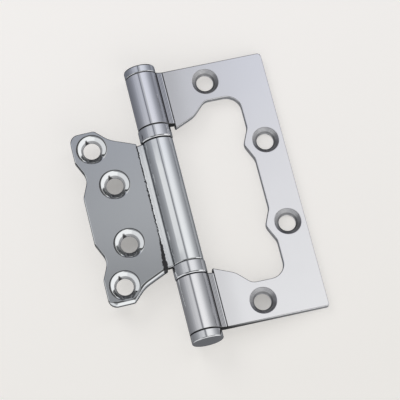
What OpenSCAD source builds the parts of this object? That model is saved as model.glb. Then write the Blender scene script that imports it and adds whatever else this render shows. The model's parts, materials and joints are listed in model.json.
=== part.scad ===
// Flush hinge with ball bearing rings: the inner leaf folds into the window of the outer leaf.
// Millimetres, +Z up along the barrel. The origin lies on the back face of the outer leaf,
// midway between its two side screw holes. +X runs from the barrel to the outer leaf's free edge,
// and the countersunk faces look towards -Y.

/* [Leaves] */
// Height of the outer leaf, which is also the length of the barrel without its caps
leaf_height = 100; // [97:1:125]
// Thickness of the sheet that both leaves are cut and rolled from
sheet = 2.5; // [2.4:0.1:3]
// Width of the inner leaf, from the pin's axis to its free edge
inner_reach = 30.8; // [30:0.1:36]
// Height of the inner leaf across its two wings
inner_height = 66.5; // [61:0.5:69]
// Clearance all round the inner leaf when it lies in the window
nest_gap = 2.45; // [1.6:0.05:3.5]
// Width of the outer leaf's strip beside the window
strip_width = 12; // [11.6:0.1:20]
// Corner radius of the outer leaf
outer_corner_r = 1.5; // [0.4:0.1:5]
// Angle from one leaf to the other as the hinge lies open
rest_angle = 184; // [170:1:190]

/* [Inner leaf outline] */
// Length that the inner leaf runs on past its knuckle at each end of the root
root_step = 0.85; // [0.2:0.05:1.5]
// Distance from the pin's axis to the point where the leaf's flank turns steeper
neck_x = 16.9; // [14:0.1:18]
// Half height of the inner leaf at that point
neck_half = 28.7; // [27:0.1:29.4]
// Distance from the pin's axis to the wing's inner corner
shoulder_x = 21.5; // [20.5:0.1:23]
// Height of each wing along the free edge
wing_height = 10.4; // [9:0.1:12]
// Depth of the notch between a wing and the nose
notch_depth = 3.1; // [1.5:0.1:4]
// Distance between the middles of the two notches
notch_spacing = 32; // [28:0.1:33]
// Height of the nose between the notches
nose_height = 18; // [14:0.1:20]
// Corner radius of the wings
wing_r = 3.2; // [1:0.1:5]
// Radius of the wings' inner corners
shoulder_r = 1.5; // [0.5:0.1:4]
// Radius in the bottom of the notches
notch_r = 5.9; // [3:0.1:8]

/* [Screw holes] */
// Diameter of the screw holes
hole_d = 6.2; // [5.6:0.1:6.8]
// Diameter of the countersinks on the outer leaf
outer_rim_d = 9.9; // [9:0.1:10.8]
// Diameter of the countersinks on the inner leaf
inner_rim_d = 10.5; // [9:0.1:11]
// Distance from the outer leaf's end to its end hole
end_hole_in = 6.95; // [6.2:0.05:8.4]
// Distance from the pin's axis to the end holes
end_hole_x = 22.6; // [16:0.1:36]
// Distance from the outer leaf's free edge to its side holes
side_hole_in = 6.6; // [6:0.1:6.9]
// Distance between the two side holes
side_hole_spacing = 32.2; // [24:0.1:50]
// Distance from the pin's axis to the holes in the wings
wing_hole_x = 23.8; // [20:0.1:25.2]
// Distance between the two holes in the wings
wing_hole_spacing = 52.9; // [44:0.1:54]
// Distance from the pin's axis to the holes near the root
root_hole_x = 18.7; // [14.5:0.1:22]
// Distance between the two holes near the root
root_hole_spacing = 22.8; // [14:0.1:30]

/* [Barrel] */
// Outer diameter of the knuckles and caps
barrel_d = 11.5; // [11:0.1:12.6]
// Length of the inner leaf's knuckle
middle_length = 47.7; // [44:0.1:50]
// Radius inside the bend that brings each leaf back to the middle of the barrel
bend_r = 3; // [2.4:0.1:4]
// Width of the open seam where the rolled sheet ends
seam = 0.25; // [0.1:0.05:0.6]
// Thickness of the pin's head
head_thick = 3; // [2:0.1:5]
// Thickness of the plug's cap
plug_thick = 3.2; // [2:0.1:5]
// Length of the plug's shank inside the knuckle
plug_shank = 7; // [4:0.5:12]
// Radius on the rims of the head and the cap
cap_round = 0.6; // [0.2:0.05:1.2]

/* [Bearings] */
// Length of each bearing between two knuckles
ring_length = 5.2; // [4.4:0.1:7]
// Distance that the bearing rings stand out past the knuckles
ring_stand = 0.25; // [0.1:0.05:0.6]
// Wall of the bearing rings
ring_wall = 0.55; // [0.4:0.05:0.6]
// Diameter of the balls
ball_d = 1.5; // [1.2:0.05:1.6]
// Number of balls in each bearing
ball_count = 11; // [8:1:12]
// Thickness of the ball cages
cage_thick = 0.7; // [0.4:0.05:0.8]

/* [Clearances] */
// Between the pin and the bores it turns in
pin_clear = 0.05; // [0.02:0.01:0.1]
// Between the plug's shank and its bore
plug_clear = 0.01; // [0:0.005:0.03]
// Between the turning race and the ring round it
race_clear = 0.1; // [0.05:0.01:0.15]
// Between the inner leaf's knuckle and the ring next to it
ring_clear = 0.08; // [0.04:0.01:0.2]
// Between the balls and their grooves and pockets
ball_clear = 0.03; // [0.01:0.01:0.05]
// Between the cages and what is round them
cage_clear = 0.1; // [0.05:0.01:0.15]

/* [Hidden] */

// Barrel and the rolled root of the leaves
barrel_r = barrel_d / 2;
bore_r = barrel_r - sheet;
roll_mid_r = barrel_r - sheet / 2;
bend_mid_r = bend_r + sheet / 2;
bend_out_r = bend_r + sheet;
root_span = roll_mid_r + bend_mid_r;
// The bend's centre lies so that the plate comes out level with the pin's axis
bend_turn = acos(bend_mid_r / root_span);
bend_x = root_span * sin(bend_turn);
bend_y = -bend_mid_r;
root_angle = atan2(bend_y, bend_x);
// The roll ends where the back of the bend leaves the barrel's circle, less the seam
tip_chord = (barrel_r * barrel_r - bend_out_r * bend_out_r + root_span * root_span) / (2 * root_span);
tip_angle = root_angle + acos(tip_chord / barrel_r) + seam / barrel_r * 180 / PI;
// The roll runs on under the bend's last point, and the bend's heel reaches back into the roll
bend_steps = 8;
heel_angle = 8;
lap_point = bend_point(bend_r, bend_steps - 1);
roll_turn = 360 + atan2(lap_point.y, lap_point.x) - tip_angle;

// Heights along the barrel, from its middle
half_height = leaf_height / 2;
middle_half = middle_length / 2;
ring_outer_z = middle_half + ring_length;
bearing_z = middle_half + ring_length / 2;

// Outer leaf
window_x = inner_reach + nest_gap;
outer_reach = window_x + strip_width;
side_hole_x = outer_reach - side_hole_in;
end_hole_z = half_height - end_hole_in;

// Inner leaf's upper half outline, from the root to the nose: [x, z, corner radius]
neck_r = 11;
wing_foot_r = 2;
nose_r = 3;
root_half = middle_half + root_step;
half_outline = [
    [bend_x, root_half, 0],
    [neck_x, neck_half, neck_r],
    [shoulder_x, inner_height / 2, shoulder_r],
    [inner_reach, inner_height / 2, wing_r],
    [inner_reach, inner_height / 2 - wing_height, wing_foot_r],
    [inner_reach - notch_depth, notch_spacing / 2, notch_r],
    [inner_reach, nose_height / 2, nose_r]
];
inner_outline = concat(half_outline, upside_down(half_outline));
outer_outline = [
    [bend_x, half_height, 0],
    [outer_reach, half_height, outer_corner_r],
    [outer_reach, -half_height, outer_corner_r],
    [bend_x, -half_height, 0]
];

// Pin and plug
pin_r = bore_r - pin_clear;
plug_r = bore_r - plug_clear;
shank_top = -half_height + plug_shank;
pin_end_gap = 0.5;
pin_chamfer = 0.4;

// Bearings
ring_r = barrel_r + ring_stand;
race_r = ring_r - ring_wall;
pitch_r = (bore_r + race_r) / 2;
race_face = cage_thick / 2 + cage_clear + 0.05;
race_thick = ring_length / 2 - race_face;
groove_r = ball_d / 2 + ball_clear;

// Fineness of the curved surfaces
round_fn = 72;
hole_fn = 40;
ball_fn = 16;
arc_step = 7.5;
// How far a cut runs past the face it opens
past = 0.5;

// The row of corners below the middle that mirrors the row above it
function upside_down(row) = [for (i = [len(row) - 1 : -1 : 0]) [row[i].x, -row[i].y, row[i][2]]];

function flat(p) = [p.x, p.y];
function unit(v) = v / norm(v);
// Positive where an outline that runs clockwise turns inwards
function turn_left(p, q, n) = cross(flat(q) - flat(p), flat(n) - flat(q));
function before(row, i) = row[(i + len(row) - 1) % len(row)];
function after(row, i) = row[(i + 1) % len(row)];

// Arc that rounds the corner q between its neighbours p and n, kept within half of the shorter side
function corner_arc(p, q, n) =
    let (
        a = unit(flat(p) - flat(q)),
        b = unit(flat(n) - flat(q)),
        half = acos(max(-1, min(1, a * b))) / 2,
        room = 0.48 * min(norm(flat(p) - flat(q)), norm(flat(n) - flat(q))),
        r = min(q[2], room * tan(half))
    )
    (r < 0.05 || half > 89.5) ? [flat(q)] :
    let (
        centre = flat(q) + unit(a + b) * r / sin(half),
        from = flat(q) + a * r / tan(half) - centre,
        sweep = (turn_left(p, q, n) > 0 ? 1 : -1) * (180 - 2 * half),
        steps = max(2, ceil(abs(sweep) / arc_step))
    )
    [for (k = [0 : steps])
        let (t = sweep * k / steps)
        centre + [from.x * cos(t) - from.y * sin(t), from.x * sin(t) + from.y * cos(t)]];

// Points of a closed outline with its corners rounded
function rounded(row) = [for (i = [0 : len(row) - 1]) each corner_arc(before(row, i), row[i], after(row, i))];

// Corner q of a clockwise outline, moved out by the gap with its radius to suit
function grown_corner(p, q, n, gap) =
    let (
        a = unit(flat(q) - flat(p)),
        b = unit(flat(n) - flat(q)),
        out_a = [-a.y, a.x],
        out_b = [-b.y, b.x],
        mitre = (out_a + out_b) / (1 + out_a * out_b),
        side = turn_left(p, q, n) > 0 ? -1 : 1,
        place = flat(q) + mitre * gap
    )
    [place.x, place.y, max(0.3, q[2] + side * gap)];

// Closed clockwise outline grown by a gap all round
function grown(row, gap) = [for (i = [0 : len(row) - 1]) grown_corner(before(row, i), row[i], after(row, i), gap)];

// Sheet cut to an outline in X and Z, centred on the pin's axis in Y
module plate(points) {
    rotate([90, 0, 0])
        linear_extrude(sheet, center = true)
            polygon(points);
}

// Section of the bend from the plate to the barrel, with a heel that lies inside the barrel's wall
bend_section = concat(
    [for (k = [0 : bend_steps - 1]) bend_point(bend_out_r, k)],
    [
        polar(bore_r + 0.02, root_angle),
        polar(bore_r + sheet / 8, root_angle - heel_angle),
        polar(barrel_r - sheet / 8, root_angle - heel_angle)
    ],
    [for (k = [bend_steps - 1 : -1 : 0]) bend_point(bend_r, k)]
);

function polar(r, a) = [r * cos(a), r * sin(a)];
function bend_point(r, k) = [bend_x, bend_y] + polar(r, 90 + bend_turn * k / bend_steps);

// Rolled knuckle and the bend from it to the plate, between two heights
module knuckle(z_low, z_high) {
    translate([0, 0, z_low]) {
        rotate_extrude(angle = roll_turn, start = tip_angle, $fn = round_fn)
            translate([bore_r, 0])
                square([sheet, z_high - z_low]);
        linear_extrude(z_high - z_low)
            polygon(bend_section);
    }
}

// Cutter for one countersunk hole, opening on the front face
module screw_hole(x, z, rim_d) {
    cone_depth = (rim_d - hole_d) / 2 + past;
    translate([x, 0, z])
        rotate([90, 0, 0]) {
            cylinder(h = sheet + 2 * past, d = hole_d, center = true, $fn = hole_fn);
            translate([0, 0, sheet / 2 + past - cone_depth])
                cylinder(h = cone_depth, d1 = hole_d, d2 = rim_d + 2 * past, $fn = hole_fn);
        }
}

module outer_leaf() {
    color([0.80, 0.80, 0.85]) {
        difference() {
            plate(rounded(outer_outline));
            rotate([90, 0, 0])
                linear_extrude(sheet + 2 * past, center = true)
                    polygon(rounded(grown(inner_outline, nest_gap)));
            for (s = [-1, 1]) {
                screw_hole(end_hole_x, s * end_hole_z, outer_rim_d);
                screw_hole(side_hole_x, s * side_hole_spacing / 2, outer_rim_d);
            }
        }
        knuckle(ring_outer_z, half_height);
        knuckle(-half_height, -ring_outer_z);
    }
}

module inner_leaf() {
    color([0.66, 0.68, 0.70])
        rotate([0, 0, 180 - rest_angle])
            mirror([1, 0, 0]) {
                difference() {
                    plate(rounded(inner_outline));
                    for (s = [-1, 1]) {
                        screw_hole(wing_hole_x, s * wing_hole_spacing / 2, inner_rim_d);
                        screw_hole(root_hole_x, s * root_hole_spacing / 2, inner_rim_d);
                    }
                }
                knuckle(-middle_half, middle_half);
            }
}

// Half profile of a cap of the barrel's diameter whose rim is rounded, from its face to its seat
function cap_profile(thick) = [
    [0, thick],
    for (a = [90 : -15 : 0]) [barrel_r - cap_round + cap_round * cos(a), thick - cap_round + cap_round * sin(a)],
    [barrel_r, 0]
];

// Pin with its flat head, made in one piece
module hinge_pin() {
    length = half_height - shank_top - pin_end_gap;
    color([0.78, 0.79, 0.81])
        translate([0, 0, half_height])
            rotate_extrude($fn = round_fn)
                polygon(concat(cap_profile(head_thick), [
                    [pin_r, 0],
                    [pin_r, pin_chamfer - length],
                    [pin_r - pin_chamfer, -length],
                    [0, -length]
                ]));
}

// Cap that closes the barrel's lower end, with its shank pressed into the knuckle
module bottom_plug() {
    color([0.60, 0.61, 0.63])
        translate([0, 0, -half_height])
            mirror([0, 0, 1])
                rotate_extrude($fn = round_fn)
                    polygon(concat(cap_profile(plug_thick), [
                        [plug_r, 0],
                        [plug_r, pin_chamfer - plug_shank],
                        [plug_r - pin_chamfer, -plug_shank],
                        [0, -plug_shank]
                    ]));
}

// Puts a bearing piece, made with the middle knuckle below it, at the upper or lower end
module at_bearing(end) {
    if (end > 0)
        translate([0, 0, bearing_z]) children();
    else
        translate([0, 0, -bearing_z]) mirror([0, 0, 1]) children();
}

module tube(z_low, z_high, r_in, r_out) {
    translate([0, 0, z_low])
        difference() {
            cylinder(h = z_high - z_low, r = r_out, $fn = round_fn);
            translate([0, 0, -past])
                cylinder(h = z_high - z_low + 2 * past, r = r_in, $fn = round_fn);
        }
}

// Ring that shows between two knuckles and keeps dirt out of the balls
module bearing_ring(end) {
    color([0.80, 0.81, 0.83])
        at_bearing(end)
            tube(ring_clear - ring_length / 2, ring_length / 2, race_r, ring_r);
}

// Washer with a ball groove in its lower face or, turned over, in its upper face
module race(r_out) {
    difference() {
        tube(race_face, race_face + race_thick, bore_r, r_out);
        rotate_extrude($fn = round_fn)
            translate([pitch_r, 0])
                circle(r = groove_r, $fn = 24);
    }
}

module fixed_race(end) {
    color([0.55, 0.56, 0.58])
        at_bearing(end)
            race(race_r);
}

module turning_race(end) {
    color([0.50, 0.51, 0.53])
        at_bearing(end)
            mirror([0, 0, 1])
                race(race_r - race_clear);
}

module ball_cage(end) {
    color([0.72, 0.60, 0.30])
        at_bearing(end)
            difference() {
                tube(-cage_thick / 2, cage_thick / 2, bore_r + cage_clear, race_r - cage_clear);
                for (i = [0 : ball_count - 1])
                    rotate([0, 0, 360 * i / ball_count])
                        translate([pitch_r, 0, 0])
                            cylinder(h = cage_thick + 2 * past, r = groove_r, center = true, $fn = 24);
            }
}

module balls(end) {
    color([0.85, 0.86, 0.88])
        at_bearing(end)
            for (i = [0 : ball_count - 1])
                rotate([0, 0, 360 * i / ball_count])
                    translate([pitch_r, 0, 0])
                        sphere(d = ball_d, $fn = ball_fn);
}

// Moves the pieces, made round the pin's axis, so that the origin lies on the outer leaf's back face
module placed() {
    translate([-side_hole_x, -sheet / 2, 0]) children();
}

placed() outer_leaf();
placed() inner_leaf();
placed() hinge_pin();
placed() bottom_plug();
placed() bearing_ring(1);  // upper_bearing_ring
placed() bearing_ring(-1);  // lower_bearing_ring
placed() fixed_race(1);  // upper_fixed_race
placed() fixed_race(-1);  // lower_fixed_race
placed() turning_race(1);  // upper_turning_race
placed() turning_race(-1);  // lower_turning_race
placed() ball_cage(1);  // upper_ball_cage
placed() ball_cage(-1);  // lower_ball_cage
placed() balls(1);  // upper_balls
placed() balls(-1);  // lower_balls
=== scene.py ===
import json
import math
from collections import namedtuple

import bmesh
import bpy
from mathutils import Euler, Matrix, Vector


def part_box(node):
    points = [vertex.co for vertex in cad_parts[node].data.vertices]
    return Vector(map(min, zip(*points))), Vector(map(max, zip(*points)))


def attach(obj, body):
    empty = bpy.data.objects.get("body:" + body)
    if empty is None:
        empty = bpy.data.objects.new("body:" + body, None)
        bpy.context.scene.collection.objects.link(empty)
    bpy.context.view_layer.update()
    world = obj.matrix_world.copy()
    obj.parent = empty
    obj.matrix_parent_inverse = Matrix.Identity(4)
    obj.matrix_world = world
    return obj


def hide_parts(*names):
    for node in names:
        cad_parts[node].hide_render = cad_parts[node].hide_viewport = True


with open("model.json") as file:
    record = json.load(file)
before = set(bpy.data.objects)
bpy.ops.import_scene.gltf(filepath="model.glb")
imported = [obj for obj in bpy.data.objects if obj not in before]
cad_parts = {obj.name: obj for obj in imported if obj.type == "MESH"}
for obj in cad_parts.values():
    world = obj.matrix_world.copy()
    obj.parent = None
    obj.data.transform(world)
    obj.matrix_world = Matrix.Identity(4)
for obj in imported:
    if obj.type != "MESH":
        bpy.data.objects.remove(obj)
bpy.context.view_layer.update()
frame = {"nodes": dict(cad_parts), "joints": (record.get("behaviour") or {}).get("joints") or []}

# The pin's axis at the middle of the barrel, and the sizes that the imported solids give, in metres
AXIS = Vector(frame["joints"][0]["pos_m"])
BARREL_R = (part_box("bottom_plug")[1].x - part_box("bottom_plug")[0].x) / 2
RING_R = (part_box("upper_bearing_ring")[1].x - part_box("upper_bearing_ring")[0].x) / 2
RING_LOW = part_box("upper_bearing_ring")[0].z
RING_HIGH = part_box("upper_bearing_ring")[1].z
HALF_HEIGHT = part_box("outer_leaf")[1].z
HEAD_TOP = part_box("hinge_pin")[1].z
PIN_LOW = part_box("hinge_pin")[0].z
CAP_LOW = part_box("bottom_plug")[0].z
SHANK_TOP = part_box("bottom_plug")[1].z
OUTER_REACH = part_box("outer_leaf")[1].x - AXIS.x
INNER_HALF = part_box("inner_leaf")[1].z

# Sizes that the boxes don't give, in metres
MM = 0.001
SHEET = 2.5 * MM
RING_LENGTH = 5.2 * MM
BEND_R = 3.0 * MM
SEAM = 0.25 * MM
INNER_REACH = 30.8 * MM
ROOT_STEP = 0.85 * MM
NEST_GAP = 2.45 * MM
HOLE_R = 3.1 * MM
OUTER_RIM_R = 4.95 * MM
INNER_RIM_R = 5.25 * MM
PIN_CLEAR = 0.05 * MM
REST_TILT = math.radians(-4.0)

# How far out of round the rolled knuckles and the turned parts look, as a turn of their normals
ROLL_LEAN = math.radians(7.5)
LATHE_LEAN = math.radians(3.0)

# Rolled root: mid radii, the bend's centre and turn, and where the roll ends
MIDDLE_HALF = RING_HIGH - RING_LENGTH
BORE_R = BARREL_R - SHEET
ROLL_MID = BARREL_R - SHEET / 2
BEND_MID = BEND_R + SHEET / 2
ROOT_SPAN = ROLL_MID + BEND_MID
BEND_TURN = math.acos(BEND_MID / ROOT_SPAN)
BEND_X = ROOT_SPAN * math.sin(BEND_TURN)
BEND_Y = -BEND_MID
ROOT_ANGLE = math.atan2(BEND_Y, BEND_X)
TIP_CHORD = (BARREL_R ** 2 - (BEND_R + SHEET) ** 2 + ROOT_SPAN ** 2) / (2 * ROOT_SPAN)
TIP_ANGLE = ROOT_ANGLE + math.acos(TIP_CHORD / BARREL_R) + SEAM / BARREL_R
BEND_LENGTH = BEND_MID * BEND_TURN
ROLL_LENGTH = ROLL_MID * (2 * math.pi + ROOT_ANGLE - TIP_ANGLE)
BEND_STEPS = 40
ROLL_STEPS = 90

# Places of the screw holes, as distances from the pin's axis along each leaf and heights
OUTER_END_HOLE = (22.6 * MM, 43.05 * MM)
OUTER_SIDE_HOLE = (OUTER_REACH - 6.6 * MM, 16.1 * MM)
INNER_WING_HOLE = (23.8 * MM, 26.45 * MM)
INNER_ROOT_HOLE = (18.7 * MM, 11.4 * MM)

# Camera, fitted to the photograph: place in metres, turn in degrees, lens and sensor in mm
CAMERA_PLACE = (-0.144281, -0.751787, -0.255069)
CAMERA_TURN = (109.0670, 13.8139, -4.0322)
CAMERA_LENS = 200.09
CAMERA_SENSOR = 36
CAMERA_NEAREST = 0.01


def smooth(low, high, value):
    """0 below low, 1 above high, and a smooth rise between them."""
    t = max(0.0, min(1.0, (value - low) / (high - low)))
    return t * t * (3 - 2 * t)


# Rounded corners: largest share of a side that one takes, smallest radii, and the flattest half angle
CORNER_SHARE = 0.48
LEAST_ARC = 0.02 * MM
LEAST_GROWN_ARC = 0.3 * MM
FLATTEST = math.radians(89.5)


def corner_arc(before, corner, after, step=math.radians(5.0)):
    """Points of the arc that rounds a corner (x, z, radius) between its neighbours."""
    q = Vector(corner[:2])
    a = Vector(before[:2]) - q
    b = Vector(after[:2]) - q
    room = CORNER_SHARE * min(a.length, b.length)
    a.normalize()
    b.normalize()
    half = math.acos(max(-1.0, min(1.0, a.dot(b)))) / 2
    radius = min(corner[2], room * math.tan(half))
    if radius < LEAST_ARC or half > FLATTEST:
        return [q]
    centre = q + (a + b).normalized() * radius / math.sin(half)
    start = q + a * radius / math.tan(half) - centre
    turn = a.x * b.y - a.y * b.x
    sweep = math.copysign(math.pi - 2 * half, -turn)
    steps = max(3, math.ceil(abs(sweep) / step))
    points = []
    for k in range(steps + 1):
        c, s = math.cos(sweep * k / steps), math.sin(sweep * k / steps)
        points.append(centre + Vector((start.x * c - start.y * s, start.x * s + start.y * c)))
    return points


def rounded(corners):
    """Points along an open row of corners (x, z, radius), with the corners between its ends rounded."""
    points = [Vector(corners[0][:2])]
    for i in range(1, len(corners) - 1):
        points += corner_arc(corners[i - 1], corners[i], corners[i + 1])
    points.append(Vector(corners[-1][:2]))
    return points


def upside_down(corners):
    """The same corners below the middle, in the opposite order."""
    return [(x, -z, r) for x, z, r in reversed(corners)]


def grown(corners, gap):
    """An outline with its material on the right, moved out by a gap, with its corner radii to suit."""
    result = []
    for i in range(1, len(corners) - 1):
        p, q, n = (Vector(corners[j][:2]) for j in (i - 1, i, i + 1))
        a, b = (q - p).normalized(), (n - q).normalized()
        out_a, out_b = Vector((-a.y, a.x)), Vector((-b.y, b.x))
        place = q + (out_a + out_b) / (1 + out_a.dot(out_b)) * gap
        side = -1 if a.x * b.y - a.y * b.x > 0 else 1
        result.append((place.x, place.y, max(LEAST_GROWN_ARC, corners[i][2] + side * gap)))
    return result


# Inner leaf's upper half outline, from the root to the nose: x from the pin's axis, z, corner radius
half_outline = [
    (BEND_X, MIDDLE_HALF + ROOT_STEP, 0.3 * MM),
    (16.9 * MM, 28.7 * MM, 11.0 * MM),
    (21.5 * MM, INNER_HALF, 1.5 * MM),
    (INNER_REACH, INNER_HALF, 3.2 * MM),
    (INNER_REACH, INNER_HALF - 10.4 * MM, 2.0 * MM),
    (INNER_REACH - 3.1 * MM, 16.0 * MM, 5.9 * MM),
    (INNER_REACH, 9.0 * MM, 3.0 * MM),
]
inner_outline = half_outline + upside_down(half_outline)


# Limits that keep mitres and slanted lines from running away
LEAST_COSINE = 0.05
LEAST_MITRE = 0.35

# Part of the bend over which the plate's look turns into the roll's, and the angle in radians over which
# the roll's lean comes in
ROLL_LOOK = (0.3, 0.8)
LEAN_WITHIN = 0.5


def crease_line(a, slope, corner_x, soft=0.03 * MM):
    """Distance of the root's front face from the bend's centre at angle a.

    The face is a plate, then a flank that rises at a slope from a crease, then the round barrel."""
    turned = a - math.pi / 2
    plate = BEND_R / max(LEAST_COSINE, math.cos(turned))
    foot = BEND_R * math.cos(slope) + (BEND_X - corner_x) * math.sin(slope)
    flank = foot / max(LEAST_COSINE, math.cos(turned - slope))
    off = math.pi / 2 + BEND_TURN - a
    barrel = ROOT_SPAN * math.cos(off)
    barrel -= math.sqrt(max(0.0, BARREL_R ** 2 - (ROOT_SPAN * math.sin(off)) ** 2))
    lowest = min(plate, flank, barrel)
    return lowest - soft * math.log(sum(math.exp((lowest - d) / soft) for d in (plate, flank, barrel)))


class Sheet:
    """Mesh of a sheet made flat in (s, z), with n through its thickness from front to back, then bent.

    From s = BEND_X outwards it is the plate. Below that it runs through the bend into the roll."""

    def __init__(self, inner, slope, corner_x):
        self.inner = inner
        self.slope = slope
        self.corner_x = corner_x
        self.places = []
        self.normals = []
        self.raw = []
        self.roll = []
        self.crease = []
        self.faces = []

    def front_dip(self, a):
        """How far the front face lies from a plain round bend at angle a, and its normal's turn there."""
        step = 1e-4
        here, ahead = (crease_line(b, self.slope, self.corner_x) for b in (a, a + step))
        return here - BEND_R, math.atan2(here - ahead, here * step)

    def bent(self, s, z, n):
        """Place in the axis frame, with the directions of growing s and of growing n there."""
        along = BEND_X - s
        if along <= 0:
            return Vector((s, n, z)), Vector((1, 0, 0)), Vector((0, 1, 0))
        if along <= BEND_LENGTH:
            a = math.pi / 2 + along / BEND_MID
            out = Vector((math.cos(a), math.sin(a), 0))
            share = 0.5 - n / SHEET
            dip, lean = self.front_dip(a)
            place = Vector((BEND_X, BEND_Y, z)) + out * (BEND_MID + n + dip * share)
            out = Matrix.Rotation(lean * share, 3, "Z") @ out
            return place, Vector((out.y, -out.x, 0)), out
        b = ROOT_ANGLE - (along - BEND_LENGTH) / ROLL_MID
        out = Vector((math.cos(b), math.sin(b), 0))
        return Vector((0, 0, z)) + out * (ROLL_MID - n), Vector((-out.y, out.x, 0)), -out

    def add(self, s, z, n, normal, raw=0.0):
        """Adds a vertex with its normal (along s, along z, along n) and returns its number."""
        place, t, through = self.bent(s, z, n)
        direction = t * normal[0] + Vector((0, 0, 1)) * normal[1] + through * normal[2]
        rolled = (BEND_X - s - BEND_LENGTH) / ROLL_MID
        if not self.inner and rolled > 0:
            lean = ROLL_LEAN * smooth(0.0, LEAN_WITHIN, rolled)
            direction = Matrix.Rotation(lean, 3, "Z") @ direction
        if self.inner:
            turn = Matrix.Rotation(REST_TILT, 3, "Z") @ Matrix.Diagonal((-1, 1, 1))
            place, direction = turn @ place, turn @ direction
        self.places.append(AXIS + place)
        self.normals.append(direction.normalized())
        self.raw.append(raw)
        self.roll.append(smooth(*ROLL_LOOK, (BEND_X - s) / BEND_LENGTH))
        self.crease.append(self.corner_x - s)
        return len(self.places) - 1

    def flat_twin(self, number, facing):
        """A second vertex at the place of another, with the plate's own normal."""
        twin = self.add(BEND_X, 0, 0, (0, 0, facing), self.raw[number])
        self.places[twin] = self.places[number]
        self.roll[twin] = self.roll[number]
        self.crease[twin] = self.crease[number]
        return twin

    def face(self, *corners):
        """Adds a face, turned over on the inner leaf, which is mirrored."""
        self.faces.append(corners[::-1] if self.inner else corners)

    def strip(self, row_a, row_b):
        """Adds quads between two closed rows of vertices of one length."""
        count = len(row_a)
        for i in range(count):
            j = (i + 1) % count
            self.face(row_a[i], row_a[j], row_b[j], row_b[i])

    def mesh(self, name):
        """The sheet as a mesh, with its values for the steel."""
        return finished(name, self.places, self.normals, self.faces,
                        raw=self.raw, roll=self.roll, crease=self.crease)


def finished(name, places, normals, faces, **values):
    """Mesh with its own normals and one value per vertex for each name in values."""
    mesh = bpy.data.meshes.new(name)
    mesh.from_pydata([tuple(p) for p in places], [], faces)
    mesh.shade_smooth()
    mesh.normals_split_custom_set_from_vertices([tuple(n) for n in normals])
    for key, row in values.items():
        mesh.attributes.new(key, "FLOAT", "POINT").data.foreach_set("value", row)
    mesh.update()
    return mesh


def inward(points, i):
    """Mitre that moves point i of a closed loop, whose material is on the left, into the material."""
    p, q, n = points[i - 1], points[i], points[(i + 1) % len(points)]
    a, b = (q - p).normalized(), (n - q).normalized()
    in_a, in_b = Vector((-a.y, a.x)), Vector((-b.y, b.x))
    return (in_a + in_b) / max(LEAST_MITRE, 1 + in_a.dot(in_b))


def fill(sheet, loops, facing):
    """Triangles that fill the flat region inside the first loop and outside the others."""
    flat = bmesh.new()
    numbers = {}
    edges = []
    for loop in loops:
        row = []
        for number, s, z in loop:
            v = flat.verts.new((s, z, 0))
            numbers[v] = sheet.flat_twin(number, facing) if s < BEND_X else number
            row.append(v)
        edges += [flat.edges.new((row[i - 1], row[i])) for i in range(len(row))]
    made = bmesh.ops.triangle_fill(
        flat, use_beauty=True, use_dissolve=False, edges=edges, normal=(0, 0, 1)
    )
    for f in (g for g in made["geom"] if isinstance(g, bmesh.types.BMFace)):
        corners = [numbers[v] for v in f.verts]
        if (f.normal.z > 0) == (facing > 0):
            corners.reverse()
        sheet.face(*corners)
    flat.free()


def tab_steps():
    """Places along s from the plate's edge through the bend to the end of the roll."""
    row = [BEND_X - BEND_LENGTH * k / BEND_STEPS for k in range(BEND_STEPS + 1)]
    return row + [BEND_X - BEND_LENGTH - ROLL_LENGTH * k / ROLL_STEPS for k in range(1, ROLL_STEPS + 1)]


def edge_section(front, back, steps=6):
    """Section of a rounded sheet edge from front to back: (inset, n, angle), with angle 0 in front."""
    section = []
    for k in range(steps + 1):
        a = math.pi / 2 * k / steps
        section.append((front * (1 - math.sin(a)), -SHEET / 2 + front * (1 - math.cos(a)), a))
    for k in range(steps + 1):
        a = math.pi / 2 * (1 + k / steps)
        section.append((back * (1 - math.sin(a)), SHEET / 2 - back * (1 + math.cos(a)), a))
    return section


# Rawness inside the joints of the barrel: 1 is a bare sheared edge, 2 is black with old oil and
# painted shade in the gaps
SOOT_AND_SHADE = 2.0

# Radii on the edges of the sheets
KNUCKLE_EDGE = 0.45 * MM
BACK_EDGE = 0.20 * MM
OUTER_EDGE = 0.30 * MM
INNER_EDGE = 0.40 * MM
INNER_LOW_EDGE = 1.60 * MM

# Angles round a sheet's edge, in degrees from its front face: where the soot and painted shade on top of a
# knuckle begin, how far rawness takes to come in, and where it goes again towards the back face
TOP_SOOT_AND_SHADE_FROM = 20
RAW_SPREAD = 14
RAW_FADE = (120, 170)


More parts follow.
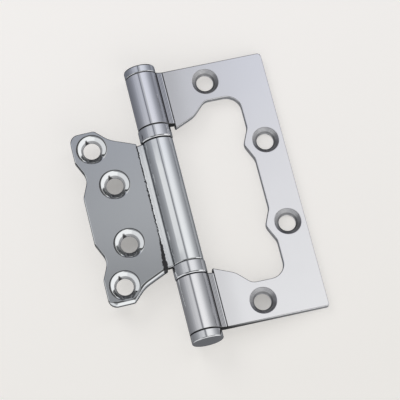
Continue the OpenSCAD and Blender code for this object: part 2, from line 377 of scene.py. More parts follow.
def build_leaf(name, sheet, chains, tabs, holes, countersink, edge_radius, soot_and_shade_from, raw_from):
    """Leaf from the plate's edge chains, the (low, high) heights of its knuckles and its holes (x, z).

    The loop runs with the material on its left: knuckle, chain, knuckle, chain. edge_radius gives the
    radius on the front edge for the outward direction in (s, z). The last two arguments are the angles in
    degrees round the edge where the soot and painted shade under a knuckle and the rawness of the plate's
    edge begin."""
    steps = tab_steps()
    count = len(steps)
    loop, on_tab, tab_starts = [], [], []
    for (low, high), chain in zip(tabs, chains):
        tab_starts.append(len(loop))
        loop += [Vector((s, high)) for s in steps]
        loop += [Vector((s, low)) for s in reversed(steps)]
        loop += chain[1:-1]
        on_tab += [True] * (2 * count) + [False] * (len(chain) - 2)
    mitres = [inward(loop, i) for i in range(len(loop))]
    outs = [-m.normalized() for m in mitres]
    sections = [
        edge_section(KNUCKLE_EDGE if tab else edge_radius(out), BACK_EDGE)
        for out, tab in zip(outs, on_tab)
    ]
    rows = []
    for k in range(len(sections[0])):
        row = []
        for point, mitre, out, section, tab in zip(loop, mitres, outs, sections, on_tab):
            inset, n, angle = section[k]
            place = point + mitre * inset
            normal = (out.x * math.sin(angle), out.y * math.sin(angle), -math.cos(angle))
            start = raw_from
            # On a knuckle the edge goes black past a rawness of 1: soot together with painted shade in the
            # joints
            if tab:
                start = TOP_SOOT_AND_SHADE_FROM if out.y > 0 else soot_and_shade_from
            turned = math.degrees(angle)
            raw = smooth(start, start + RAW_SPREAD, turned) * (SOOT_AND_SHADE if tab else 1.0)
            raw *= 1 - smooth(*RAW_FADE, turned)
            row.append((sheet.add(place.x, place.y, n, normal, raw), place.x, place.y))
        rows.append(row)
    for row_a, row_b in zip(rows, rows[1:]):
        sheet.strip([v[0] for v in row_b], [v[0] for v in row_a])

    hole_rows = [build_hole(sheet, x, z, countersink) for x, z in holes]
    for facing, row, n in ((-1, rows[0], -SHEET / 2), (1, rows[-1], SHEET / 2)):
        plate_loop = []
        for k, first in enumerate(tab_starts):
            top = row[first:first + count]
            bottom = row[first + count:first + 2 * count][::-1]
            plate_loop += knuckle_face(sheet, top, bottom, n, facing)
            end = tab_starts[k + 1] if k + 1 < len(tab_starts) else len(row)
            plate_loop += row[first + 2 * count:end]
        rims = [hole[0 if facing < 0 else 1] for hole in hole_rows]
        fill(sheet, [plate_loop] + rims, facing)
    return sheet.mesh(name)


def knuckle_face(sheet, top, bottom, n, facing, parts=12):
    """Quads of a knuckle's front or back face between its edge rows. Returns its side at the plate."""
    columns = [top]
    for j in range(1, parts):
        column = []
        for (_, s, high), (_, _, low) in zip(top, bottom):
            z = high + (low - high) * j / parts
            column.append((sheet.add(s, z, n, (0, 0, facing)), s, z))
        columns.append(column)
    columns.append(bottom)
    for left, right in zip(columns, columns[1:]):
        for i in range(len(top) - 1):
            quad = (left[i][0], left[i + 1][0], right[i + 1][0], right[i][0])
            sheet.face(*(quad if facing < 0 else quad[::-1]))
    return [column[0] for column in columns]


# What a countersink looks like: the radius of its rim, the radius of the lip between the plate and the
# cone, the rawness of the cone's alternate machining rings, black above 1 as painted shade in the recess,
# and of its foot, a painted shade ring, how much more its sides look downwards than a true cone's, and
# the angle of a painted dark reflection at its foot in degrees, or None
Countersink = namedtuple("Countersink", "rim_r lip raws swing nick")
CONE = math.radians(45)
CONE_SLANT = math.sin(CONE)
CONE_RINGS = 9
LIP_STEPS = 6
HOLE_EDGE = 0.10 * MM

# Painted shade and a painted dark reflection on the cone, with shares from 0 at its rim to 1 at the hole,
# angles in degrees, and the cosine of the angle from the outline's middle within which it is at its
# darkest
FOOT_FROM = 0.66
DARK_REFLECTION_FROM = 0.28
DARK_REFLECTION_SHARPNESS = 5.0
DARK_REFLECTION_HALF_WIDTH = 5.0
DARK_REFLECTION_SHADE = 1.9
OUTLINE_ROWS = (1, 2)
OUTLINE_MIDDLE = 5
OUTLINE_FULL_FROM = 0.5
OUTLINE_SHADE = 1.75

# Share of the way round from the hole's top to its bottom where the cone's directions turn back to true
TRUE_CONE_FROM = 0.65


def cone_facing(a, swing):
    """Direction that the cone faces at angle a round the hole: its sides look more downwards by swing."""
    from_top = math.remainder(a - math.pi / 2, 2 * math.pi)
    share = abs(from_top) / math.pi
    return math.pi / 2 + from_top * (1 - swing * (1 - smooth(TRUE_CONE_FROM, 1.0, share)))


def hole_section(look):
    """Section of a countersunk hole, from the plate's front face to its back face.

    Each row is (radius, n, normal towards the hole's centre, normal along n, rawness, cone share)."""
    depth = look.rim_r - HOLE_R
    front, back = -SHEET / 2, SHEET / 2
    section = []
    for k in range(LIP_STEPS + 1):
        t = CONE * k / LIP_STEPS
        radius = look.rim_r + look.lip * (math.tan(CONE / 2) - math.sin(t))
        n = front + look.lip * (1 - math.cos(t))
        section.append((radius, n, math.sin(t), -math.cos(t), look.raws[0] * k / LIP_STEPS, 0))
    first = look.lip * (1 - math.cos(CONE)) / depth
    for k in range(1, CONE_RINGS + 1):
        share = first + (1 - HOLE_EDGE / depth - first) * k / CONE_RINGS
        radius, n = look.rim_r - depth * share, front + depth * share
        # The foot of the cone takes its own rawness, a painted shade ring at the throat
        raw = look.raws[2] if share > FOOT_FROM else look.raws[k % 2]
        section.append((radius, n, CONE_SLANT, -CONE_SLANT, raw, share))
    return section + [
        (HOLE_R + HOLE_EDGE * 0.3, front + depth - HOLE_EDGE * 0.1, 0.92, -0.38, 0.8, 1),
        (HOLE_R, front + depth + HOLE_EDGE * 0.8, 1.0, 0.0, 1.0, 0),
        (HOLE_R, back - HOLE_EDGE, 1.0, 0.0, 1.0, 0),
        (HOLE_R + HOLE_EDGE * 0.3, back - HOLE_EDGE * 0.3, CONE_SLANT, CONE_SLANT, 0.8, 0),
        (HOLE_R + HOLE_EDGE, back, 0.0, 1.0, 0.2, 0),
    ]


def hole_shade_marks(row_number, share, a, nick):
    """Rawness of the painted shade outline on one side of the lip and of the painted dark reflection that
    points from foot to rim.
    """
    if row_number in OUTLINE_ROWS:
        beside = math.cos(a - math.radians(OUTLINE_MIDDLE))
        return OUTLINE_SHADE * smooth(0.0, OUTLINE_FULL_FROM, beside)
    beside = abs(math.degrees(a) - nick) / DARK_REFLECTION_HALF_WIDTH
    return DARK_REFLECTION_SHADE * max(0.0, min(1.0, DARK_REFLECTION_SHARPNESS * (share - DARK_REFLECTION_FROM) - beside))


def build_hole(sheet, x, z, look, count=72):
    """Walls of a countersunk hole. Returns its front and back boundary rows."""
    rows = []
    for row_number, (radius, n, towards, through, raw, share) in enumerate(hole_section(look)):
        row = []
        for i in range(count):
            a = 2 * math.pi * i / count
            facing = cone_facing(a, look.swing if share < 1 else 0)
            normal = (-math.cos(facing) * towards, -math.sin(facing) * towards, through)
            # Painted shade outline and painted dark reflection, where the countersink has them
            shade_mark = 0 if look.nick is None else hole_shade_marks(row_number, share, a, look.nick)
            place = (x + radius * math.cos(a), z + radius * math.sin(a))
            row.append((sheet.add(*place, n, normal, max(raw, shade_mark)), *place))
        rows.append(row)
    for row_a, row_b in zip(rows, rows[1:]):
        sheet.strip([v[0] for v in row_a], [v[0] for v in row_b])
    return rows[0], rows[-1]


def mirrored_pairs(far, near):
    """Four hole places (x, z) from two above the middle, from the top down."""
    return [far, near, (near[0], -near[1]), (far[0], -far[1])]


# How far the window's outline starts inside the root, so that its first corners lie clear of the edge
WINDOW_RUN_IN = 9 * MM

# How far down an edge of the inner leaf looks, from 0 to 1, when its radius starts and stops growing
LOOKS_DOWN = (0.45, 0.8)


def outer_leaf_mesh():
    """Outer leaf: two knuckles, the window's edge between them and the plate's outer edge."""
    inside = BEND_X - WINDOW_RUN_IN
    window = grown([(inside, MIDDLE_HALF, 0), *inner_outline, (inside, -MIDDLE_HALF, 0)], NEST_GAP)
    first, second = window[0], window[1]
    slope = (second[1] - first[1]) / (second[0] - first[0])
    mouth = second[1] + (BEND_X - second[0]) * slope
    window_chain = rounded([
        (BEND_X, RING_HIGH, 0),
        (BEND_X, mouth, 0.4 * MM),
        *window[1:-1],
        (BEND_X, -mouth, 0.4 * MM),
        (BEND_X, -RING_HIGH, 0),
    ])
    outer_chain = rounded([
        (BEND_X, -HALF_HEIGHT, 0),
        (OUTER_REACH, -HALF_HEIGHT, 0.7 * MM),
        (OUTER_REACH, HALF_HEIGHT, 1.5 * MM),
        (BEND_X, HALF_HEIGHT, 0),
    ])
    tabs = [(RING_HIGH, HALF_HEIGHT), (-HALF_HEIGHT, -RING_HIGH)]
    holes = mirrored_pairs(OUTER_END_HOLE, OUTER_SIDE_HOLE)
    sheet = Sheet(inner=False, slope=math.radians(29), corner_x=BEND_X - 0.05 * MM)
    countersink = Countersink(
        rim_r=OUTER_RIM_R - 0.1 * MM,
        lip=0.4 * MM,
        raws=(1.5, 1.1, 1.6),
        swing=0.0,
        nick=None,
    )
    return build_leaf("outer_leaf_dressed", sheet, [window_chain, outer_chain], tabs, holes, countersink,
                      edge_radius=lambda out: OUTER_EDGE, soot_and_shade_from=2, raw_from=45)


def inner_edge_radius(out):
    """Radius on the inner leaf's front edge, which is larger where the edge looks down."""
    return INNER_EDGE + (INNER_LOW_EDGE - INNER_EDGE) * smooth(*LOOKS_DOWN, -out.y)


def inner_leaf_mesh():
    """Inner leaf: one knuckle and the shaped plate."""
    chain = rounded([(BEND_X, MIDDLE_HALF, 0), *inner_outline, (BEND_X, -MIDDLE_HALF, 0)])
    chain.reverse()
    tabs = [(-MIDDLE_HALF, MIDDLE_HALF)]
    holes = mirrored_pairs(INNER_WING_HOLE, INNER_ROOT_HOLE)
    sheet = Sheet(inner=True, slope=math.radians(16), corner_x=BEND_X - 0.1 * MM)
    countersink = Countersink(
        rim_r=INNER_RIM_R,
        lip=1.2 * MM,
        raws=(0.0, 0.0, 0.8),
        swing=0.5,
        nick=72,
    )
    return build_leaf("inner_leaf_dressed", sheet, [chain], tabs, holes, countersink,
                      edge_radius=inner_edge_radius, soot_and_shade_from=50, raw_from=72)


# Turned parts: degrees round a rim in which its rawness fades, the bevel on the ends of the pin's shaft
# and the plug's shank, the plug's clearance in its knuckle, and the thickness of a ring's wall
RIM_FADE = 10
SHAFT_BEVEL = 0.4 * MM
PLUG_CLEAR = 0.01 * MM
RING_WALL = 0.9 * MM


def lathe(name, section, count=128):
    """Mesh turned about the pin's axis from rows (radius, z, normal outwards and upwards, rawness)."""
    places, normals, raws, faces = [], [], [], []
    for radius, z, out, up, raw in section:
        for i in range(count):
            a = 2 * math.pi * i / count
            c, s = math.cos(a), math.sin(a)
            places.append(AXIS + Vector((radius * c, radius * s, z)))
            lean = (math.cos(a + LATHE_LEAN), math.sin(a + LATHE_LEAN))
            normals.append(Vector((out * lean[0], out * lean[1], up)).normalized())
            raws.append(raw)
    for k in range(len(section) - 1):
        for i in range(count):
            j = (i + 1) % count
            faces.append((k * count + i, k * count + j, (k + 1) * count + j, (k + 1) * count + i))
    if section[0] != section[-1]:
        last = (len(section) - 1) * count
        faces.append(tuple(range(count))[::-1])
        faces.append(tuple(last + i for i in range(count)))
    ones = [1.0] * len(places)
    return finished(name, places, normals, faces, raw=raws, roll=ones, crease=[-1.0] * len(places))


def rim(radius, z_face, edge, up, face_raw_and_shade, dark_from=60, steps=6):
    """Section from a flat end face (up 1 or -1) at z_face, round its rim to the side wall.

    edge is the rim's radius. Counted in degrees from the wall, the rim is clean up to dark_from and takes
    the face's rawness from RIM_FADE further on. On faces in the joints that rawness is soot with painted
    shade."""
    section = [(radius - edge, z_face, 0, up, face_raw_and_shade)]
    clean_at = 90 - dark_from
    for k in range(steps + 1):
        a = math.pi / 2 * k / steps
        raw = face_raw_and_shade * (1 - smooth(clean_at - RIM_FADE, clean_at, math.degrees(a)))
        section.append((
            radius - edge * (1 - math.sin(a)),
            z_face - up * edge * (1 - math.cos(a)),
            math.sin(a),
            up * math.cos(a),
            raw,
        ))
    return section


def pin_mesh():
    """Pin: shaft from below, the seat under the head, and the head with its rounded rim."""
    shaft_r = BORE_R - PIN_CLEAR
    section = [
        (shaft_r - SHAFT_BEVEL, PIN_LOW, 0, -1, 0.5),
        (shaft_r - SHAFT_BEVEL, PIN_LOW, 0.7, -0.7, 0.2),
        (shaft_r, PIN_LOW + SHAFT_BEVEL, 0.7, -0.7, 0.2),
        (shaft_r, PIN_LOW + SHAFT_BEVEL, 1, 0, 0),
        (shaft_r, HALF_HEIGHT, 1, 0, 0),
        # The seat under the head sits in a joint: black with soot and painted shade
        (shaft_r, HALF_HEIGHT, 0, -1, SOOT_AND_SHADE),
        *rim(BARREL_R, HALF_HEIGHT, edge=0.3 * MM, up=-1, face_raw_and_shade=SOOT_AND_SHADE, dark_from=50),
        # The head's top is duller and darker, partly a painted dark reflection
        *reversed(rim(BARREL_R, HEAD_TOP, edge=0.6 * MM, up=1, face_raw_and_shade=0.4)),
    ]
    return lathe("hinge_pin_dressed", section)


def plug_mesh():
    """Plug: cap with its rounded rim below, shank above."""
    shank_r = BORE_R - PLUG_CLEAR
    section = [
        # The cap's end face is duller and darker, partly a painted dark reflection
        *rim(BARREL_R, CAP_LOW, edge=0.45 * MM, up=-1, face_raw_and_shade=0.25),
        # The top of the cap sits in a joint: black with soot and painted shade
        *reversed(rim(BARREL_R, -HALF_HEIGHT, edge=0.3 * MM, up=1, face_raw_and_shade=SOOT_AND_SHADE, dark_from=65)),
        (shank_r, -HALF_HEIGHT, 0, 1, SOOT_AND_SHADE),
        (shank_r, -HALF_HEIGHT, 1, 0, 0),
        (shank_r, SHANK_TOP - SHAFT_BEVEL, 1, 0, 0),
        (shank_r, SHANK_TOP - SHAFT_BEVEL, 0.7, 0.7, 0.2),
        (shank_r - SHAFT_BEVEL, SHANK_TOP, 0.7, 0.7, 0.2),
        (shank_r - SHAFT_BEVEL, SHANK_TOP, 0, 1, 0.5),
    ]
    return lathe("bottom_plug_dressed", section)


def ring_mesh(name, low, high):
    """Bearing ring with rounded rims, closed into a tube by its bore."""
    bore = RING_R - RING_WALL
    # Its ends sit in the joints and its bore is hidden: all black with soot and painted shade
    section = [
        (bore, high, -1, 0, SOOT_AND_SHADE),
        (bore, low, -1, 0, SOOT_AND_SHADE),
        (bore, low, 0, -1, SOOT_AND_SHADE),
        *rim(RING_R, low, edge=0.8 * MM, up=-1, face_raw_and_shade=SOOT_AND_SHADE, dark_from=48),
        *reversed(rim(RING_R, high, edge=0.4 * MM, up=1, face_raw_and_shade=SOOT_AND_SHADE, dark_from=45)),
        (bore, high, 0, 1, SOOT_AND_SHADE),
        (bore, high, -1, 0, SOOT_AND_SHADE),
    ]
    return lathe(name, section)


def add_piece(mesh, body, slot, material, *nodes):
    """Puts a mesh into the scene for the given body and nodes, and returns its object. The slot is not
    used.
    """
    piece = bpy.data.objects.new(mesh.name, mesh)
    bpy.context.scene.collection.objects.link(piece)
    piece.data.materials.append(material)
    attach(piece, body)
    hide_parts(*nodes)
    return piece


def make(tree, kind, inputs=None, **settings):
    """Adds a shader node with its settings and its inputs, which are values or other nodes' sockets."""
    made = tree.nodes.new("ShaderNode" + kind)
    for key, value in settings.items():
        setattr(made, key, value)
    for key, value in (inputs or {}).items():
        if isinstance(value, bpy.types.NodeSocket):
            tree.links.new(value, made.inputs[key])
        else:
            made.inputs[key].default_value = value
    return made


def grey(level, tint=(1, 1, 1)):
    """Opaque colour of one level, tinted."""
    return (*[level * t for t in tint], 1)


def ramp(tree, factor, stops, interpolation="EASE"):
    """Colour ramp with stops (position, level or colour)."""
    made = make(tree, "ValToRGB", {"Fac": factor})
    made.color_ramp.interpolation = interpolation
    while len(made.color_ramp.elements) < len(stops):
        made.color_ramp.elements.new(1.0)
    for element, (position, level) in zip(made.color_ramp.elements, stops):
        element.position = position
        element.color = level if isinstance(level, tuple) else grey(level)
    return made.outputs["Color"]


def math_node(tree, operation, a, b=0.0):
    """Result of a sum on one or two numbers."""
    return make(tree, "Math", {0: a, 1: b}, operation=operation).outputs[0]


def mapped(tree, value, source=(0.0, 1.0), target=(0.0, 1.0), kind="LINEAR"):
    """Number carried over from one range to another and held at the ends of it."""
    limits = {0: value, 1: source[0], 2: source[1], 3: target[0], 4: target[1]}
    return make(tree, "MapRange", limits, interpolation_type=kind).outputs[0]


def multiplied(tree, a, b):
    """Product of two colours."""
    product = make(tree, "Mix", {"Factor": 1.0, "A": a, "B": b}, data_type="RGBA", blend_type="MULTIPLY")
    return product.outputs["Result"]


def mixed(tree, factor, a, b):
    """Blend of two colours."""
    return make(tree, "Mix", {"Factor": factor, "A": a, "B": b}, data_type="RGBA").outputs["Result"]


def blended(tree, factor, a, b):
    """Blend of two numbers."""
    return make(tree, "Mix", {"Factor": factor, "A": a, "B": b}, data_type="FLOAT").outputs["Result"]


def noise(tree, place, scale, detail=3.0, stretch=(1, 1, 1)):
    """Noise over the object's own coordinates, stretched along its axes."""
    stretched = make(tree, "Mapping", {"Vector": place, "Scale": stretch}).outputs[0]
    return make(tree, "TexNoise", {"Vector": stretched, "Scale": scale, "Detail": detail}).outputs["Fac"]


# Patterns of the steel: their sizes as waves per metre, for the last two along x, y and z
CLOUDS = 70
NICKS = 1700
GRIT = 1500
GRAIN = (2500, 2500, 160)
SWELL = (260, 260, 110)
GRAIN_DEPTH = 0.02 * MM
GRAIN_STRENGTH = 0.05
SWELL_DEPTH = 0.10 * MM

# How much the clouds change the polish's brightness and roughness, how much the grit changes the bare
# steel's brightness, the bare steel's roughness, and the brightness of soot and painted shade
POLISH_TONES = (0.97, 1.03)
POLISH_PATCHES = (0.85, 1.15)
BARE_TONES = (0.8, 1.2)
BARE_ROUGH = 0.42
SOOT_AND_SHADE_TONE = 0.04

# Painted reflection bands and a painted shade line beside the crease: the distances in mm that the bands
# may cover, and the dark line's strength, its shift to one side and its soft border as shares of its
# width, and how far up it stays wide
BAND_SPAN = (-10.0, 6.0)
LINE_SHADE = 1.85
LINE_SHIFT = 0.35
LINE_BORDER = (0.4, 0.6)
LINE_WIDE_TO = 0.4


def steel(name, colour, plate_rough, roll_rough, raw_colour=(0.20, 0.20, 0.21), wave=0.0, painted_bands=(),
          line=(0.05, 0.2, 0.2), ragged=0.1):
    """Polished steel with bare sheared edges, joints black with soot and painted shade, and painted
    reflection bands and a painted shade line on its root.

    The bands are painted reflections: (distance from the crease in mm, brightness). line is the painted
    shade line at the crease: its place, its width at the top of the leaf and its width at the bottom, in
    mm. ragged is how uneven these run, in mm. wave is the strength of the slow swell on the roll."""
    material = bpy.data.materials.new(name)
    material.use_nodes = True
    tree = material.node_tree
    shader = tree.nodes["Principled BSDF"]
    shader.inputs["Metallic"].default_value = 1.0
    place = make(tree, "TexCoord").outputs["Object"]
    raw = make(tree, "Attribute", attribute_name="raw").outputs["Fac"]
    roll = make(tree, "Attribute", attribute_name="roll").outputs["Fac"]
    crease = make(tree, "Attribute", attribute_name="crease").outputs["Fac"]

    clouds = noise(tree, place, CLOUDS, 4)
    low, high = (grey(tone, colour) for tone in POLISH_TONES)
    polished = mixed(tree, clouds, low, high)

    # Distance from the crease in mm, made uneven along the root
    nicks = noise(tree, place, NICKS, 3, (1, 1, 0.7))
    uneven = mapped(tree, nicks, target=(-ragged, ragged))
    across = math_node(tree, "ADD", math_node(tree, "DIVIDE", crease, MM), uneven)
    # Painted reflection and shade bands across the root
    if painted_bands:
        start, end = BAND_SPAN
        spread = mapped(tree, across, BAND_SPAN)
        band_light = ramp(tree, spread, [((at - start) / (end - start), level) for at, level in painted_bands])
        polished = multiplied(tree, polished, band_light)

    # The painted shade line at the crease, wider towards the bottom of the leaf
    where, top_width, bottom_width = line
    height = make(tree, "SeparateXYZ", {0: place}).outputs["Z"]
    lower_part = (-MIDDLE_HALF, -MIDDLE_HALF * LINE_WIDE_TO)
    width = mapped(tree, height, lower_part, (bottom_width, top_width), "SMOOTHSTEP")
    middle = math_node(tree, "SUBTRACT", where, math_node(tree, "MULTIPLY", width, LINE_SHIFT))
    beside = math_node(tree, "ABSOLUTE", math_node(tree, "SUBTRACT", across, middle))
    share = math_node(tree, "DIVIDE", beside, width)
    dark = mapped(tree, share, LINE_BORDER, (1.0, 0.0), "SMOOTHSTEP")
    dull_and_shaded = math_node(tree, "MAXIMUM", raw, math_node(tree, "MULTIPLY", dark, LINE_SHADE))

    # Bare steel up to a rawness of 1, and black from there to the rawness of soot, which also paints shade
    grit = noise(tree, place, GRIT, 3)
    low, high = (grey(tone, raw_colour) for tone in BARE_TONES)
    bare = mixed(tree, grit, low, high)
    soot_and_shade_share = mapped(tree, dull_and_shaded, (1.0, SOOT_AND_SHADE))
    bare = mixed(tree, soot_and_shade_share, bare, grey(SOOT_AND_SHADE_TONE))
    tree.links.new(mixed(tree, dull_and_shaded, polished, bare), shader.inputs["Base Color"])

    base_rough = blended(tree, roll, plate_rough, roll_rough)
    patchy = mapped(tree, clouds, target=POLISH_PATCHES)
    rough = blended(tree, dull_and_shaded, math_node(tree, "MULTIPLY", base_rough, patchy), BARE_ROUGH)
    tree.links.new(rough, shader.inputs["Roughness"])

    grain = noise(tree, place, 1.0, 3, GRAIN)
    fine = make(tree, "Bump", {"Strength": GRAIN_STRENGTH, "Distance": GRAIN_DEPTH, "Height": grain})
    swell = noise(tree, place, 1.0, 1, SWELL)
    amount = math_node(tree, "MULTIPLY", math_node(tree, "MULTIPLY", roll, swell), wave)
    raised = {"Strength": 1.0, "Distance": SWELL_DEPTH, "Height": amount, "Normal": fine.outputs[0]}
    bump = make(tree, "Bump", raised)
    tree.links.new(bump.outputs[0], shader.inputs["Normal"])
    return material


# Painted reflection and shade bands beside each root, as distances from the crease in mm and brightness
outer_painted_bands = [
    (-9.0, 1.0), (-1.0, 0.88), (-0.6, 0.88), (0.3, 1.2), (0.75, 0.45), (1.15, 1.2), (1.6, 0.35),
    (2.0, 1.2), (2.5, 0.5), (2.9, 1.15), (3.35, 0.12), (3.95, 0.10), (4.5, 1.0),
]
inner_painted_bands = [
    (-0.6, 1.0), (0.6, 1.0), (0.9, 0.75), (1.2, 1.0), (1.5, 0.8), (1.9, 1.0), (2.5, 0.9), (3.4, 1.0),
    (3.8, 0.35), (4.3, 0.45), (5.0, 1.0),
]

satin = steel("satin_steel", (0.80, 0.80, 0.82), plate_rough=0.10, roll_rough=0.06,
              raw_colour=(0.80, 0.80, 0.82), painted_bands=outer_painted_bands, line=(-0.1, 0.5, 0.5), ragged=0.05)
polished = steel("polished_steel", (0.84, 0.86, 0.87), plate_rough=0.07, roll_rough=0.05,
                 raw_colour=(0.40, 0.40, 0.41), painted_bands=inner_painted_bands, line=(0.1, 0.5, 1.9), ragged=0.7,
                 wave=0.3)
bright = steel("bright_steel", (0.79, 0.80, 0.82), plate_rough=0.08, roll_rough=0.08)
bearing = steel("bearing_steel", (0.60, 0.61, 0.63), plate_rough=0.15, roll_rough=0.15)
brass = steel("cage_brass", (0.72, 0.55, 0.25), plate_rough=0.30, roll_rough=0.30)

add_piece(outer_leaf_mesh(), "frame_side", "satin_steel", satin, "outer_leaf")
inner_leaf = add_piece(inner_leaf_mesh(), "door_side", "polished_steel", polished, "inner_leaf")
add_piece(pin_mesh(), "frame_side", "bright_steel", bright, "hinge_pin")
add_piece(plug_mesh(), "frame_side", "bright_steel", bright, "bottom_plug")
add_piece(ring_mesh("upper_ring_dressed", RING_LOW, RING_HIGH), "frame_side", "bright_steel", bright,
          "upper_bearing_ring")
add_piece(ring_mesh("lower_ring_dressed", -RING_HIGH, -RING_LOW), "frame_side", "bright_steel", bright,
          "lower_bearing_ring")

# The parts inside the bearings are the CAD solids, which take their material by the end of their name
inside_material = {"race": bearing, "balls": bearing, "cage": brass}
for name, node in frame["nodes"].items():
    for word, material in inside_material.items():
        if name.endswith(word):
            node.data.materials.clear()
            node.data.materials.append(material)


def add_camera():
    """Camera of the photograph."""
    data = bpy.data.cameras.new("camera")
    data.lens = CAMERA_LENS
    data.sensor_width = CAMERA_SENSOR
    data.clip_start = CAMERA_NEAREST
    camera = bpy.data.objects.new("camera", data)
    camera.location = CAMERA_PLACE
    camera.rotation_euler = Euler([math.radians(a) for a in CAMERA_TURN])
    bpy.context.scene.collection.objects.link(camera)
    bpy.context.scene.camera = camera


def add_light(name, azimuth, elevation, distance, size, power):
    """Soft lamp aimed at the hinge. Azimuth 0 is in front of it (towards -Y) and 90 is at +X."""
    a, e = math.radians(azimuth), math.radians(elevation)
    out = Vector((math.sin(a) * math.cos(e), -math.cos(a) * math.cos(e), math.sin(e)))
    data = bpy.data.lights.new(name, "AREA")
    data.shape = "DISK"
    data.size = size
    data.energy = power
    light = bpy.data.objects.new(name, data)
    light.location = out * distance
    light.rotation_euler = out.to_track_quat("Z", "Y").to_euler()
    light.visible_glossy = False
    bpy.context.scene.collection.objects.link(light)


# Studio walls: brightness by azimuth in degrees, 0 in front of the hinge and 90 at its right
wall = [
    (-180, 0.13), (-156, 0.15), (-140, 0.24), (-116, 0.21), (-92, 0.26), (-76, 0.31), (-60, 0.40),
    (-45, 0.54), (-20, 0.66), (-10, 0.60), (-7.5, 0.22), (-3.9, 0.24), (-2.5, 0.42), (-0.8, 0.44),
    (3, 0.60), (7, 0.86), (14, 0.92), (27, 0.92), (36, 0.87), (44, 0.79), (52, 0.68), (60, 0.56),
    (70, 0.45), (84, 0.35), (94, 0.28), (109, 0.42), (124, 0.31), (142, 0.16), (180, 0.13),
]

# Brightness of those walls by elevation in degrees, as a colour
rise = [
    (-6, (0.10, 0.10, 0.10)),
    (4, (0.14, 0.14, 0.14)),
    (9, (1.12, 1.12, 1.10)),
    (15, (1.08, 1.08, 1.07)),
    (18.5, (0.99, 0.99, 1.00)),
    (22, (0.87, 0.89, 0.97)),
    (28, (0.66, 0.68, 0.74)),
    (35, (0.14, 0.14, 0.15)),
    (60, (0.14, 0.14, 0.15)),
    (70, (0.55, 0.55, 0.55)),
]

# Sheets of card among the walls: azimuths, elevations, softness of both borders, brightness, and whether
# the side borders are wavy
cards = [
    ((-49, -13), (17.4, 20.1), (1.2, 0.5), 0.82, True),
    ((4, 9.6), (19.7, 30), (1.2, 0.6), 0.56, False),
    ((-9, 1), (12, 17.6), (3.0, 0.8), 0.30, False),
    ((62, 112), (-80, 11), (4.0, 4.0), 1.0, False),
    ((-130, -40), (-80, -8), (6.0, 4.0), 0.80, False),
    ((-40, -8), (-60, -20), (4.0, 4.0), 0.30, False),
    ((112, 181), (-55, 9), (6.0, 3.0), 0.19, False),
    ((-181, -130), (-55, 9), (6.0, 3.0), 0.19, False),
]


# The ground's brightness by elevation, and the elevations between which the walls give way to it
ground_levels = [(-50, 1.0), (-36, 0.85), (-27, 0.10)]
HORIZON = (-9.0, -5.0)

# Waves along the side borders of a card: how many fit in one unit of height, and their reach in degrees
WAVES = 70.0
WAVE_REACH = (-22.0, 22.0)

# How much bluer than white a black wall is, and the part of that which green loses
BLUENESS = 0.045
GREEN_PART = 0.4


def cool(level):
    """Tint of a wall: the darker it is, the bluer."""
    share = BLUENESS * (1 - level)
    return (1 - share, 1 - share * GREEN_PART, 1 + share)


def between(tree, value, limits, soft):
    """1 inside a range of degrees and 0 outside it, with soft borders."""
    low, high = limits
    after = mapped(tree, value, (low - soft, low + soft), kind="SMOOTHSTEP")
    before = mapped(tree, value, (high - soft, high + soft), (1.0, 0.0), "SMOOTHSTEP")
    return math_node(tree, "MULTIPLY", after, before)


def set_world():
    """Soft studio: pale ground, dark ceiling, and walls between them that differ by azimuth."""
    world = bpy.data.worlds.new("studio")
    world.use_nodes = True
    tree = world.node_tree
    tree.nodes.clear()
    direction = make(tree, "TexCoord").outputs["Generated"]
    way = make(tree, "SeparateXYZ", {0: direction}).outputs
    around = math_node(tree, "ARCTAN2", way["X"], math_node(tree, "MULTIPLY", way["Y"], -1.0))
    azimuth = math_node(tree, "MULTIPLY", around, math.degrees(1))
    elevation = math_node(tree, "MULTIPLY", math_node(tree, "ARCSINE", way["Z"]), math.degrees(1))
    upward = make(tree, "CombineXYZ", {2: way["Z"]}).outputs[0]
    waves = make(tree, "TexNoise", {"Vector": upward, "Scale": WAVES, "Detail": 2.0}).outputs["Fac"]
    wavy = math_node(tree, "ADD", azimuth, mapped(tree, waves, target=WAVE_REACH))

    turn = mapped(tree, azimuth, (-180.0, 180.0))
    height = mapped(tree, elevation, (-90.0, 90.0))
    walls = ramp(tree, turn, [(a / 360 + 0.5, grey(level, cool(level))) for a, level in wall])
    slope = ramp(tree, height, [(e / 180 + 0.5, (*colour, 1)) for e, colour in rise])
    whole = multiplied(tree, walls, slope)
    ground = ramp(tree, height, [((e + 90) / 180, level) for e, level in ground_levels])
    whole = mixed(tree, mapped(tree, elevation, HORIZON, (1.0, 0.0)), whole, ground)
    for azimuths, elevations, soft, level, is_wavy in cards:
        beside = between(tree, wavy if is_wavy else azimuth, azimuths, soft[0])
        upright = between(tree, elevation, elevations, soft[1])
        mask = math_node(tree, "MULTIPLY", beside, upright)
        whole = mixed(tree, mask, whole, grey(level, cool(level)))

    shade = make(tree, "Background", {"Color": whole})
    make(tree, "OutputWorld", {"Surface": shade.outputs[0]})
    bpy.context.scene.world = world


# Paper of the floor 70 mm below and above the middle of the hinge, and how much it glows by itself
PAPER_LOW = (0.628, 0.612, 0.586, 1)
PAPER_HIGH = (0.652, 0.636, 0.618, 1)
GLOW = 0.81

# Soft shades close behind three holes: x, y and z in mm, the part of the glow they take, and whether they
# belong to the inner leaf and leave with it
FLOOR_SHADES = [
    (-56.5, 5.0, 13.5, 0.46, True),
    (-56.5, 5.0, -9.3, 0.46, True),
    (-14.0, 5.0, -41.5, 0.37, False),
]

# Distances in metres: gap between the hinge and the floor, half the floor's side, the heights between
# which the paper changes its tone, and where a shade begins to fade and where it ends
CONTACT_GAP = 0.05 * MM
FLOOR_REACH = 2.0
PAPER_SPAN = (-0.07, 0.07)
SHADE_FADE = (4 * MM, 10 * MM)


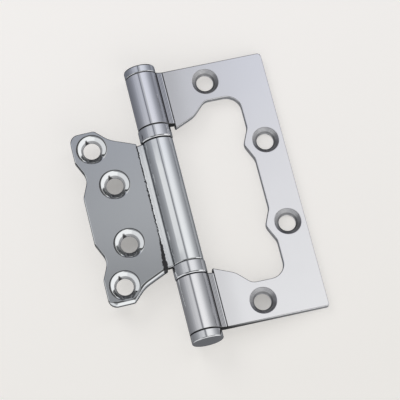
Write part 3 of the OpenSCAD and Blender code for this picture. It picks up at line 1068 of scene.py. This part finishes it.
def floor_mesh():
    """Plane that touches the rings and the outer leaf's free edge, with its front towards -Y."""
    edge = Vector((OUTER_REACH, -AXIS.y))
    lean = math.asin((RING_R + CONTACT_GAP) / edge.length) - math.atan2(edge.y, edge.x)
    rise_y = math.tan(lean)
    left = CONTACT_GAP + rise_y * (AXIS.x + OUTER_REACH + FLOOR_REACH)
    right = CONTACT_GAP + rise_y * (AXIS.x + OUTER_REACH - FLOOR_REACH)
    corners = [
        (-FLOOR_REACH, left, -FLOOR_REACH),
        (FLOOR_REACH, right, -FLOOR_REACH),
        (FLOOR_REACH, right, FLOOR_REACH),
        (-FLOOR_REACH, left, FLOOR_REACH),
    ]
    mesh = bpy.data.meshes.new("floor")
    mesh.from_pydata(corners, [], [(0, 1, 2, 3)])
    return mesh


def floor_material(leaf):
    """Glowing paper with the soft shades, clear when seen from behind. Some shades follow the leaf."""
    material = bpy.data.materials.new("pale_floor")
    material.use_nodes = True
    tree = material.node_tree
    tree.nodes.clear()
    spot = make(tree, "TexCoord").outputs["Object"]
    up = make(tree, "SeparateXYZ", {0: spot}).outputs["Z"]
    tone = ramp(tree, mapped(tree, up, PAPER_SPAN), [(0.0, PAPER_LOW), (1.0, PAPER_HIGH)], "LINEAR")
    paper = make(tree, "BsdfDiffuse", {"Color": tone})
    shade = 0.0
    beside_leaf = make(tree, "TexCoord", object=leaf).outputs["Object"]
    for x, y, z, less, follows in FLOOR_SHADES:
        ends = {0: beside_leaf if follows else spot, 1: (x * MM, y * MM, z * MM)}
        away = make(tree, "VectorMath", ends, operation="DISTANCE").outputs["Value"]
        near = mapped(tree, away, SHADE_FADE, (less, 0.0), "SMOOTHSTEP")
        shade = math_node(tree, "MAXIMUM", shade, near)
    strength = math_node(tree, "MULTIPLY", math_node(tree, "SUBTRACT", 1.0, shade), GLOW)
    glow = make(tree, "Emission", {"Color": tone, "Strength": strength})
    both = make(tree, "AddShader", {0: paper.outputs[0], 1: glow.outputs[0]})
    clear = make(tree, "BsdfTransparent")
    from_behind = make(tree, "NewGeometry").outputs["Backfacing"]
    seen = make(tree, "MixShader", {0: from_behind, 1: both.outputs[0], 2: clear.outputs[0]})
    make(tree, "OutputMaterial", {"Surface": seen.outputs[0]})
    return material


def add_floor(leaf):
    """Pale floor behind the hinge, which takes its shadow and doesn't show in the metal."""
    floor = bpy.data.objects.new("floor", floor_mesh())
    floor.data.materials.append(floor_material(leaf))
    bpy.context.scene.collection.objects.link(floor)
    floor.visible_glossy = False


add_camera()
set_world()
add_floor(inner_leaf)
add_light("key", azimuth=-38, elevation=42, distance=1.0, size=0.6, power=2)

bpy.context.scene.view_settings.view_transform = "Standard"
